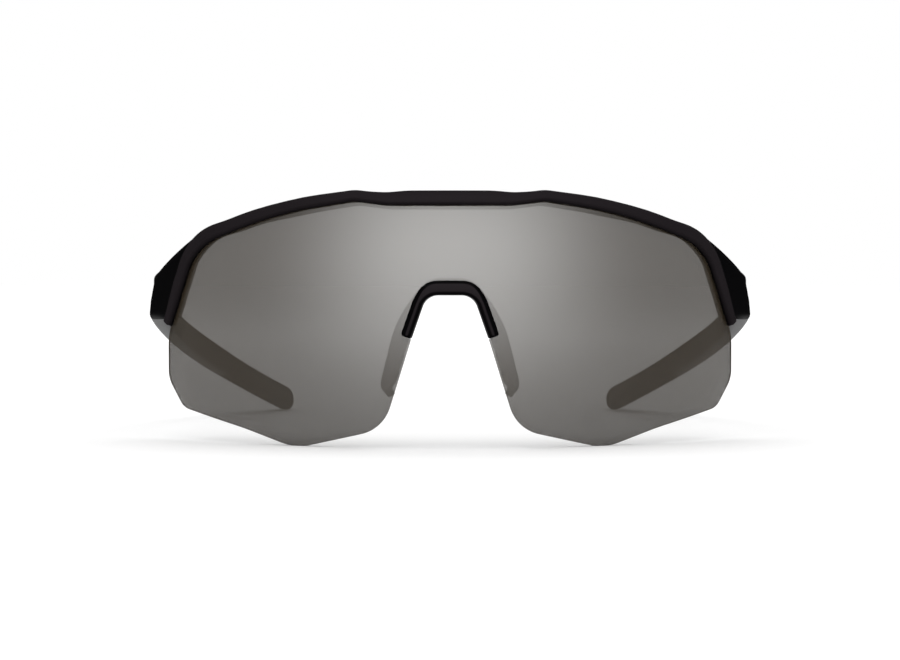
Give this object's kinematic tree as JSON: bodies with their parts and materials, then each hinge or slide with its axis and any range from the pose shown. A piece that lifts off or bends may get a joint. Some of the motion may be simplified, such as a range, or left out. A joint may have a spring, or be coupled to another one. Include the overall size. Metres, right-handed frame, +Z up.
{
  "type": "shield sunglasses",
  "caption": "Half-rim wraparound sunglasses with a one-piece curved shield lens, a nose clip with soft pad, and temples that fold on pin hinges.",
  "frame": {"origin": "middle of the footprint, on the table, with the temples open", "axes": "+X to the glasses' side that is on the right when seen from the front, +Y from the lens back along the temples, +Z up"},
  "size_m": [0.1438, 0.166, 0.0575],
  "materials": {
    "frame_plastic": "matte black nylon",
    "clip_plastic": "satin black nylon",
    "lens": "polished grey polycarbonate",
    "pad_rubber": "soft matte rubber",
    "tip_rubber": "soft matte rubber",
    "hinge_steel": "brushed stainless steel",
    "screw_steel": "bright stainless steel",
    "washer_steel": "satin stainless steel"
  },
  "bodies": {
    "front": {"brow_frame": "frame_plastic", "shield_lens": "lens", "nose_clip": "clip_plastic", "nose_pad": "pad_rubber", "right_front_hinge_leaf": "hinge_steel", "right_front_leaf_screws": "screw_steel", "right_hinge_screw": "screw_steel", "right_hinge_washers": "washer_steel", "left_front_hinge_leaf": "hinge_steel", "left_front_leaf_screws": "screw_steel", "left_hinge_screw": "screw_steel", "left_hinge_washers": "washer_steel"},
    "right_temple": {"right_temple": "frame_plastic", "right_temple_tip": "tip_rubber", "right_temple_hinge_leaf": "hinge_steel", "right_temple_leaf_screws": "screw_steel"},
    "left_temple": {"left_temple": "frame_plastic", "left_temple_tip": "tip_rubber", "left_temple_hinge_leaf": "hinge_steel", "left_temple_leaf_screws": "screw_steel"}
  },
  "joints": [
    {"name": "right_temple_fold", "type": "hinge", "parent": "front", "child": "right_temple", "pos_m": [0.0665, -0.03302, 0.034], "axis": [0, 0, 1], "range_deg": [0, 80]},
    {"name": "left_temple_fold", "type": "hinge", "parent": "front", "child": "left_temple", "pos_m": [-0.0665, -0.03302, 0.034], "axis": [0, 0, -1], "range_deg": [0, 88]}
  ]
}
